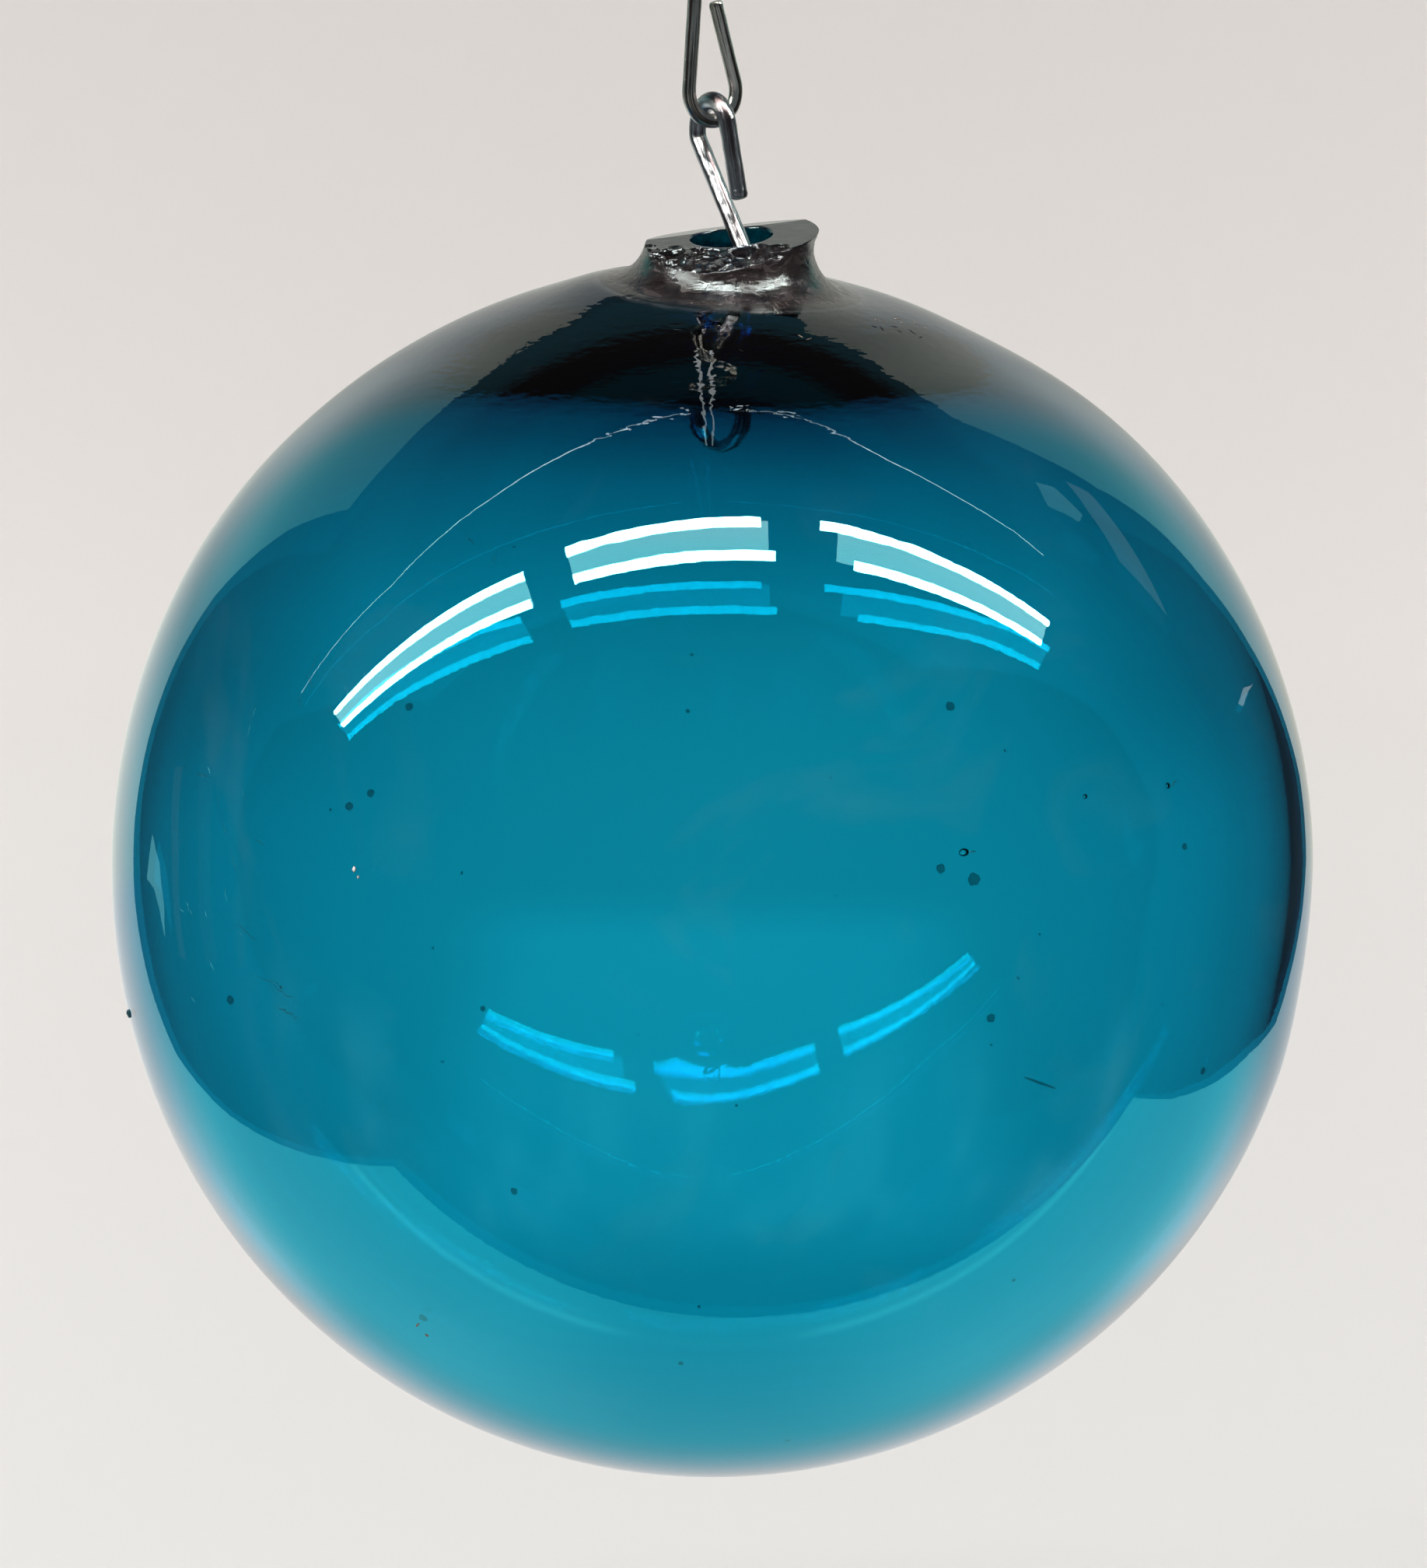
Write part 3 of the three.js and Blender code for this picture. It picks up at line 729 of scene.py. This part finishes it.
def build_flecks(name, marks, seed):
    """Thin slivers fused to the outside of the glass: grit and scratches, and white ones that are painted glints."""
    vertices, faces, steps, sides = [], [], 10, 8
    r = np.random.default_rng(seed)
    turn = 2 * np.pi * np.arange(sides)[:, None] / sides
    for x0, y0, x1, y1, size in marks:
        (a, _, n), (b, _, _) = on_ball(x0, y0), on_ball(x1, y1)
        across, first = unit(np.cross(n, b - a)), len(vertices)
        for i in range(steps + 1):
            t = i / steps
            fat = math.sin(math.pi * (0.04 + 0.92 * t)) * size * MM * r.uniform(0.6, 1.2)
            stray = r.uniform(-0.25, 0.25) * np.linalg.norm(b - a) * 0.25
            middle = a + (b - a) * t + across * stray - n * size * 0.2 * MM
            rim = middle + (across * np.cos(turn) + n * np.sin(turn) * 0.5) * fat
            vertices += list(CENTRE + rim @ HEADING)
        faces += ring_faces(steps + 1, sides, first)
        faces += [tuple(range(first, first + sides))[::-1], tuple(range(len(vertices) - sides, len(vertices)))]
    return new_mesh(name, vertices, faces)


def build_nub():
    """One dark gritty nub that stands a little proud of the left side."""
    spot, _, _ = on_ball(*NUB_AT)
    lat, lon = 10, 14
    lumps = np.full((lat + 1, lon), 0.8)
    lumps[1:-1] = np.random.default_rng(17).uniform(0.7, 1.05, (lat - 1, lon))
    half_axes = np.array([[0, 0, 1.5], [0.75, 0, 0], [0, 0.75, 0]]) * 0.4 * MM
    vertices = globe(CENTRE + spot @ HEADING, half_axes, lat, lon, lumps, lumps)
    return new_mesh("dark_nub", vertices, ring_faces(lat + 1, lon))


def dirt_and_glints(obj, *look, **settings):
    obj.data.materials.append(grit_and_glint_material(*look, **settings))
    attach(obj, "glass_ball")


STONE = {"scale": 2500.0, "rough": 0.7, "alpha": 0.36}
dirt_and_glints(build_specks(), "stone_specks", (0.06, 0.045, 0.03), (0.01, 0.03, 0.035), **STONE)
dirt_and_glints(build_flecks("sandy_flecks", SANDY, 8), "sandy_grit", (0.2, 0.165, 0.13), (0.05, 0.045, 0.04))
dirt_and_glints(build_flecks("pale_scratches", PALE, 9), "pale_teal", (0.04, 0.45, 0.52), (0.03, 0.3, 0.36))
dirt_and_glints(build_flecks("painted_glints", PAINTED_GLINTS, 10), "white_grit", (0.8, 0.8, 0.78), (0.5, 0.52, 0.52))
dirt_and_glints(build_nub(), "dark_grit", (0.03, 0.12, 0.15), (0.012, 0.03, 0.036))

# Studio

FLOOR, BACK = -0.35, 0.53
COVE_FLAT, COVE_CURVE, COVE_TOP = 1.0, 0.9, 1.3
PALE_MIDDLE = (0.80, 0.78, 0.75, 1)


def build_cove():
    """A round pale cove: a flat floor whose edge curves up all round."""
    profile = [(1e-4, FLOOR), (COVE_FLAT / 2, FLOOR), (COVE_FLAT, FLOOR)]
    for i in range(1, 25):
        a = math.pi / 2 * i / 24
        profile.append((COVE_FLAT + COVE_CURVE * math.sin(a), FLOOR + COVE_CURVE * (1 - math.cos(a))))
    profile.append((COVE_FLAT + COVE_CURVE, COVE_TOP))
    turn = 2 * np.pi * np.arange(96) / 96
    rings = [CENTRE + np.stack([r * np.cos(turn), r * np.sin(turn), z - 0.01 + 0 * turn], -1) for r, z in profile]
    obj = new_mesh("cove", np.concatenate(rings), ring_faces(len(profile), len(turn)))
    m, g, shader = material("pale_cove")
    # Painted shade: the floor is darker near the middle and lighter out towards the cove's edge
    ease = g.ease(g.vector("LENGTH", g.place()), 0.45, 1.3)
    painted_shade_tone = g.mix(ease, (0.66, 0.655, 0.64, 1), (0.89, 0.865, 0.845, 1))
    g.fill(shader, Base_Color=painted_shade_tone, Roughness=0.9, Specular_IOR_Level=0)
    obj.data.materials.append(m)
    return obj


def glow_material(name, make):
    """A stage card's material: mirrored, it glows; make gives its glow and what is seen straight through."""
    m = bpy.data.materials.new(name)
    g = Graph(m, clear=True)
    glow, plain = make(g)
    pick = g.new("MixShader", g.straight(), glow.outputs[0], plain.outputs[0])
    g.link(pick.outputs[0], g.new("OutputMaterial").inputs["Surface"])
    m.cycles.emission_sampling = "NONE"
    return m


def mirrored_only(obj, make):
    """A studio card that only polished things show, in their mirror images."""
    obj.data.materials.append(glow_material(obj.name, make))
    turned = np.eye(4)
    turned[:3, :3], turned[:3, 3] = HEADING.T, CENTRE
    obj.matrix_world = Matrix(turned.tolist())
    for flag in ("visible_camera", "visible_diffuse", "visible_shadow", "visible_volume_scatter"):
        setattr(obj, flag, False)
    return obj


def card(name, corners, colour, strength, middle=None):
    """A card by its corners: right, away and up from the ball's centre."""

    def make(g):
        return g.new("Emission", Color=(*colour, 1), Strength=strength), g.new("BsdfTransparent")

    count = len(corners)
    faces = [tuple(range(count))]
    if middle is not None:
        faces = [(count, i, (i + 1) % count) for i in range(count)]
        corners = [*corners, middle]
    return mirrored_only(new_mesh(name, corners, faces, smooth=False), make)


SWEEP_FLOOR = [
    (-0.50, -0.362), (0.72, -0.212), (0.66, -0.08), (0.62, 0.073), (0.60, 0.2), (0.55, 0.323), (0.60, BACK),
    (-0.86, BACK), (-0.70, 0.341), (-0.60, 0.198), (-0.557, 0.029), (-0.53, -0.17),
]
SWEEP_WALL = [
    (-0.86, FLOOR), (-0.771, -0.224), (-0.719, -0.113), (-0.688, -0.004), (-0.685, 0.123), (-0.706, 0.207),
    (-0.749, 0.367), (-0.88, 0.66), (-0.648, 0.63), (-0.449, 0.57), (-0.343, 0.53), (-0.231, 0.46), (-0.15, 0.42),
    (-0.09, 0.40), (0.05, 0.385), (0.09, 0.35), (0.145, 0.52), (0.21, 0.53), (0.309, 0.59), (0.45, 0.64),
    (0.564, 0.523), (0.627, 0.416), (0.63, 0.266), (0.637, 0.128), (0.599, -0.012), (0.548, -0.118),
    (0.514, -0.201), (0.55, -0.283), (0.60, FLOOR),
]


def sweep_glow(g):
    """How light each part of the paper is in a mirror image, and seen straight through the glass."""
    x, y, z = g.new("SeparateXYZ", g.place()).outputs
    side = g.calc("ABSOLUTE", x)
    lower_sides = g.times(g.ease(side, 0.02, 0.2, 0.0, 0.42), g.ease(z, -0.345, -0.29, 1.0, -0.25))
    lower_sides = g.times(lower_sides, g.ease(y, 0.08, 0.34, 1.0, -0.1))
    upper_sides = g.times(g.ease(side, 0.02, 0.2, 0.1, 0.36), g.ease(z, 0.0, 0.22))
    level = g.times(g.plus(g.plus(lower_sides, upper_sides), 0.88), g.ease(z, -0.2, 0.5, 1.0, 0.56))
    # A lighter fold line runs along the front, beside the middle
    from_fold = g.calc("ABSOLUTE", g.plus(g.calc("SUBTRACT", y, g.times(x, 0.03)), 0.247))
    fold = g.times(g.ease(from_fold, 0.0, 0.014, 0.75, 0.0), g.ease(side, 0.06, 0.12, 0.15, 1.0))
    level = g.times(g.plus(level, fold), g.ease(y, -0.26, 0.02, 1.3, 1.0))
    # It is duller beyond the ball, and the left of the wall's foot is lighter than the right
    dip = g.times(g.ease(y, -0.08, 0.05, 0.0, 0.22), g.ease(side, 0.2, 0.31, 1.0, 0.0))
    low_lean = g.times(g.ease(x, -0.4, 0.4, 0.14, -0.1), g.ease(z, -0.2, 0.05, 1.0, 0.0))
    lean = g.times(g.plus(low_lean, g.ease(z, -0.2, 0.05, 0.0, -0.13)), g.ease(y, 0.15, 0.35))
    dip = g.times(dip, g.ease(side, 0.02, 0.15, 0.3, 1.0))
    level = g.times(level, g.plus(g.calc("SUBTRACT", 1.0, dip), lean))
    # Painted teal light: in its mirror images the paper glows with less red low down and towards the middle, except
    # where it is seen at a glance
    glance = g.vector("DOT_PRODUCT", g.vector("NORMALIZE", g.place()), (0, math.cos(ELEVATION), -math.sin(ELEVATION)))
    neutral = g.times(g.ease(side, 0.3, 0.52, 0.52, 0.0), g.ease(z, -0.2, 0.1))
    least = g.plus(g.ease(z, -0.34, 0.1, 0.23, 0.34), neutral)
    red = g.plus(least, g.times(g.ease(glance, 0.33, 0.75), g.calc("SUBTRACT", 0.92, least)))
    colour = g.new("CombineXYZ", red, 0.93, g.ease(z, -0.34, -0.28, 0.93, 0.85)).outputs[0]
    # Straight through the clear glass the plain backdrop is seen
    lighter = g.times(g.ease(z, -0.335, -0.295, 0.22, 0.0), g.ease(y, 0.26, 0.34))
    seen = g.plus(g.ease(z, -0.35, 0.12, 1.05, 0.88), g.times(lighter, g.ease(side, 0.09, 0.17, 1.0, 0.0)))
    dimmer = g.times(g.ease(side, 0.12, 0.28, 0.0, 0.3), g.ease(z, -0.27, -0.15))
    seen = g.times(seen, g.calc("SUBTRACT", 1.0, dimmer))
    return g.new("Emission", Color=colour, Strength=level), g.new("Emission", Color=PALE_MIDDLE, Strength=seen)


def build_sweep():
    """The pale paper behind and under the ball, as polished things mirror it."""
    vertices = [(x, y, FLOOR) for x, y in SWEEP_FLOOR] + [(x, BACK, z) for x, z in SWEEP_WALL]
    faces = [tuple(range(len(SWEEP_FLOOR))), tuple(range(len(SWEEP_FLOOR), len(vertices)))[::-1]]
    return mirrored_only(new_mesh("sweep", vertices, faces, smooth=False), sweep_glow)


def strip(name, start, end, width, strength):
    """A long soft lamp that shines down between two points of the ceiling."""
    a, b = placed(*start), placed(*end)
    data = bpy.data.lights.new(name, "AREA")
    data.shape, data.size, data.size_y = "RECTANGLE", float(np.linalg.norm(b - a)), width
    data.energy = strength * math.pi * data.size * data.size_y
    obj = bpy.data.objects.new(name, data)
    bpy.context.scene.collection.objects.link(obj)
    x = unit(b - a)
    z = unit(UP - x * (UP @ x))
    m = np.eye(4)
    m[:3, :4] = np.stack([x, np.cross(z, x), z, (a + b) / 2], -1)
    obj.matrix_world = Matrix(m.tolist())
    obj.visible_glossy = obj.visible_transmission = False


def ceiling_bar(name, start, end, width, height, colour, strength):
    """The mirror image's own copy of a lamp: a straight flat bar at the ceiling."""
    a, b = np.array([*start, height]), np.array([*end, height])
    d = unit(b - a)
    w = np.array([-d[1], d[0], 0]) * width / 2
    return card(name, [a - w, a + w, b + w, b - w], colour, strength)


def in_mirror(pixels, name, colour, strength, reach=1.5):
    """A card placed so that the ball mirrors it at the given places of the full-size picture."""
    corners = []
    for x, y in pixels:
        spot, d, n = on_ball(x, y)
        corners.append(spot + (d - 2 * (d @ n) * n) * reach)
    return card(name, corners, colour, strength, sum(corners) / len(corners))


cove, sweep = build_cove(), build_sweep()
cove.visible_glossy = cove.visible_transmission = False

# Pairs of tubes along the ceiling, a tray behind each pair, and thin pale rails: right and away
LAMPS = [
    [(-2.090, -0.235), (-0.545, -0.165)], [(-2.080, -0.350), (-0.545, -0.275)],
    [(-0.402, -0.130), (0.120, -0.090)], [(-0.393, -0.230), (0.165, -0.205)],
    [(0.276, -0.071), (1.289, 0.002)], [(0.392, -0.186), (1.288, -0.116)],
]
RAILS = [
    [(-2.417, 0.132), (-1.130, 0.113), (-0.582, 0.200), (-0.299, 0.268), (-0.056, 0.345)],
    [(0.036, 0.363), (0.229, 0.348), (0.463, 0.304), (0.737, 0.293), (1.133, 0.315)],
]
TUBE_WIDTH, TRAY_WIDTH, RAIL_WIDTH = 0.036, 0.115, 0.0045
cards = []
for i, (start, end) in enumerate(LAMPS):
    strip(f"tube_{i}", (*start, 1.0), (*end, 1.0), TUBE_WIDTH, 30.0)
    cards.append(ceiling_bar(f"tube_card_{i}", start, end, TUBE_WIDTH, 0.995, (1.05, 1.08, 1), 80.0))
for i, (first, second) in enumerate(zip(LAMPS[::2], LAMPS[1::2])):
    start, end = np.mean([first, second], axis=0)
    strip(f"tray_{i}", (*start, 1.02), (*end, 1.02), TRAY_WIDTH, 6.0)
    cards.append(ceiling_bar(f"tray_card_{i}", start, end, TRAY_WIDTH + 0.01, 1.0, (1.05, 1, 1), 8.0))
for i, route in enumerate(RAILS):
    for j, (start, end) in enumerate(zip(route, route[1:])):
        cards.append(ceiling_bar(f"rail_{i}_{j}", start, end, RAIL_WIDTH, 1.0, (1, 1, 1), 9.0))

# A few pale things about the room, by their outlines where the ball mirrors them in the picture
SHEET_AT = [(197, 1072), (190, 1130), (199, 1142), (209, 1180), (213, 1206), (212, 1165), (206, 1110)]
PANEL_AT = [(1364, 604), (1395, 622), (1502, 792), (1440, 720), (1400, 655)]
BRIGHT_PANEL_AT = [(1328, 605), (1350, 612), (1390, 655), (1385, 664), (1345, 640)]
GLINT_AT = [(1594, 905), (1600, 885), (1613, 880), (1606, 890), (1600, 908)]
POST_A_AT = [(226, 985), (222, 1100), (232, 1230), (240, 1235), (231, 1100), (236, 985)]
POST_B_AT = [(262, 960), (256, 1090), (266, 1240), (282, 1235), (272, 1090), (282, 960)]
cards += [
    in_mirror(SHEET_AT, "sheet", (0.4, 1, 1.05), 0.9),
    in_mirror(PANEL_AT, "panel", (0.8, 1, 1), 0.4),
    in_mirror(BRIGHT_PANEL_AT, "bright_panel", (0.5, 1, 1.05), 0.75),
    in_mirror(GLINT_AT, "glint", (1, 1, 1), 0.9),
    in_mirror(POST_A_AT, "post_a", (1, 1, 1), 0.09),
    in_mirror(POST_B_AT, "post_b", (1, 1, 1), 0.06),
]
# The mirror image of what it hangs from: a doubled line that goes on up out of the picture
LINE_LOW, LINE_HIGH, LINE_HALF = (-22 - CENTRE_Z) * MM, (100 - CENTRE_Z) * MM, 0.3 * MM
for i, right in enumerate((-3.0 * MM, -0.2 * MM)):
    left, right = right - LINE_HALF, right + LINE_HALF
    corners = [(left, 0, LINE_LOW), (right, 0, LINE_LOW), (right, 0, LINE_HIGH), (left, 0, LINE_HIGH)]
    cards.append(card(f"line_above_{i}", corners, (1, 1, 1), 2.4))

# World

ROOM, FILL = (0.026, 0.042, 0.052, 1), (0.42, 0.42, 0.42, 1)
# Colours by height, from 0 straight down through 0.5 level to 1 straight up
PALE_STOPS = [
    (0.11, (0.84, 0.84, 0.81)), (0.19, (0.88, 0.87, 0.84)), (0.29, (0.79, 0.77, 0.74)), (0.40, (0.73, 0.70, 0.67)),
    (0.5, (0.69, 0.66, 0.63)),
]
HIGH_STOPS = [
    (0.75, ROOM[:3]), (0.79, (0.04, 0.12, 0.155)), (0.83, (0.04, 0.11, 0.14)), (0.85, (0.035, 0.03, 0.03)),
    (0.90, (0.03, 0.03, 0.035)), (0.915, (0.02, 0.09, 0.12)), (0.945, (0.02, 0.08, 0.115)), (0.957, (0.02, 0.02, 0.03)),
]
LOW_STOPS = [(0.12, (0, 0, 0)), (0.2, (1, 1, 1)), (0.36, (1, 1, 1)), (0.46, (0, 0, 0))]
# Colours of the uneven light in the front of the room, by a noise
LIT_STOPS = [
    (0.36, (0.02, 0.024, 0.028)), (0.46, (0.05, 0.06, 0.065)), (0.54, (0.14, 0.16, 0.17)), (0.64, (0.42, 0.46, 0.48)),
]
world = bpy.data.worlds.new("studio")
bpy.context.scene.world = world
g = Graph(world, clear=True)
way = g.place("Generated")
height = g.new("SeparateXYZ", way).outputs["Z"]
half = g.calc("MULTIPLY_ADD", height, 0.5, 0.5)
pale = g.shade(half, PALE_STOPS)
# The dim room that things mirror: light and dark stripes in front, bands high up beyond
stripes = g.noise(g.mapped(way, Scale=(3.4, 3.4, 0.3)), Scale=1.0, Detail=2.0, Roughness=0.6)
facing = g.vector("DOT_PRODUCT", way, tuple(-AWAY))
low_front = g.times(g.shade(half, LOW_STOPS), g.ease(facing, -0.05, 0.4))
dim = g.mix(g.ramp(facing, 0.0, -0.1), ROOM, g.shade(half, HIGH_STOPS))
room = g.mix(low_front, dim, g.shade(stripes, LIT_STOPS))
# Straight through the glass the backdrop shows, and the room above it
overhead = g.ease(height, math.sin(math.radians(32)), math.sin(math.radians(48)))
through = g.mix(g.straight(), room, g.mix(overhead, pale, ROOM))
path = g.new("LightPath").outputs
colour = g.mix(path["Is Glossy Ray"], FILL, room)
colour = g.mix(path["Is Transmission Ray"], colour, through)
colour = g.mix(path["Is Camera Ray"], colour, pale)
g.link(g.new("Background", Color=colour).outputs[0], g.new("OutputWorld").inputs["Surface"])

# Camera

data = bpy.data.cameras.new("camera")
data.lens, data.sensor_width = 36.05, 36.0
data.clip_start, data.clip_end = 0.005, 20
camera = bpy.data.objects.new("camera", data)
bpy.context.scene.collection.objects.link(camera)
bpy.context.scene.camera = camera
camera.location = placed(0, -DISTANCE * math.cos(ELEVATION), DISTANCE * math.sin(ELEVATION))
camera.rotation_euler = (math.pi / 2 - PITCH, 0, AZIMUTH - math.atan(BALL_LEFT / FOCAL))
bpy.context.scene.view_settings.view_transform = "Standard"
